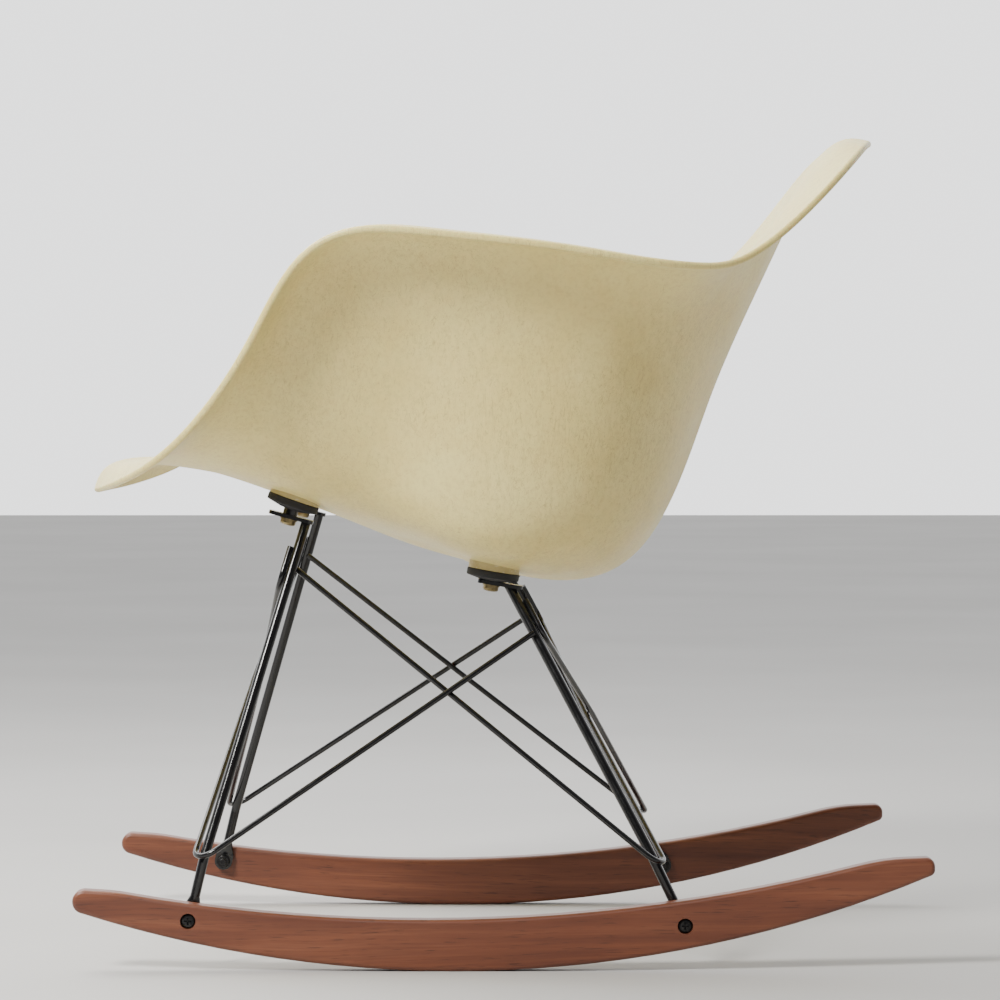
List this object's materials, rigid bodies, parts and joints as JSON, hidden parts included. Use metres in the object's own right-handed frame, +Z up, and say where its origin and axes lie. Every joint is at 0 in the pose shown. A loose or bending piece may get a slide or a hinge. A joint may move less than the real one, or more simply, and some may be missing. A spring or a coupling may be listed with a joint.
{
  "type": "rocking chair",
  "caption": "Armchair rocker with a moulded fibreglass bucket shell on rubber mounts, a crossed steel-rod base and curved wooden runners.",
  "frame": {"origin": "middle of the bounding box in plan, at floor height under the rockers", "axes": "+Z up, chair faces -Y, +X is the chair's left side"},
  "size_m": [0.632, 0.6869, 0.6735],
  "materials": {
    "fibreglass": "satin fibreglass with visible fibres",
    "resin_pad": "cast resin",
    "rubber": "matt black",
    "brass_hardware": "dull yellow zinc",
    "black_steel": "semi-gloss black enamel",
    "black_hardware": "black oxide",
    "walnut": "oiled, red-brown"
  },
  "bodies": {
    "root": {"brace_front_left": "black_steel", "brace_front_right": "black_steel", "brace_rear_left": "black_steel", "brace_rear_right": "black_steel", "leg_front_left": "black_steel", "leg_front_right": "black_steel", "leg_rear_left": "black_steel", "leg_rear_right": "black_steel", "mount_insert_front_left": "brass_hardware", "mount_insert_front_right": "brass_hardware", "mount_insert_rear_left": "brass_hardware", "mount_insert_rear_right": "brass_hardware", "mount_pad_front_left": "resin_pad", "mount_pad_front_right": "resin_pad", "mount_pad_rear_left": "resin_pad", "mount_pad_rear_right": "resin_pad", "mount_plate_front_left": "black_steel", "mount_plate_front_right": "black_steel", "mount_plate_rear_left": "black_steel", "mount_plate_rear_right": "black_steel", "mount_spacer_front_left": "black_steel", "mount_spacer_front_right": "black_steel", "rocker_bolt_front_left": "black_hardware", "rocker_bolt_front_right": "black_hardware", "rocker_bolt_rear_left": "black_hardware", "rocker_bolt_rear_right": "black_hardware", "rocker_left": "walnut", "rocker_nut_front_left": "black_hardware", "rocker_nut_front_right": "black_hardware", "rocker_nut_rear_left": "black_hardware", "rocker_nut_rear_right": "black_hardware", "rocker_right": "walnut", "rocker_washer_front_left": "black_hardware", "rocker_washer_front_right": "black_hardware", "rocker_washer_rear_left": "black_hardware", "rocker_washer_rear_right": "black_hardware", "seat_screw_front_left": "brass_hardware", "seat_screw_front_right": "brass_hardware", "seat_screw_rear_left": "brass_hardware", "seat_screw_rear_right": "brass_hardware", "seat_shell": "fibreglass", "seat_washer_front_left": "brass_hardware", "seat_washer_front_right": "brass_hardware", "seat_washer_rear_left": "brass_hardware", "seat_washer_rear_right": "brass_hardware", "shock_mount_front_left": "rubber", "shock_mount_front_right": "rubber", "shock_mount_rear_left": "rubber", "shock_mount_rear_right": "rubber"}
  },
  "joints": []
}
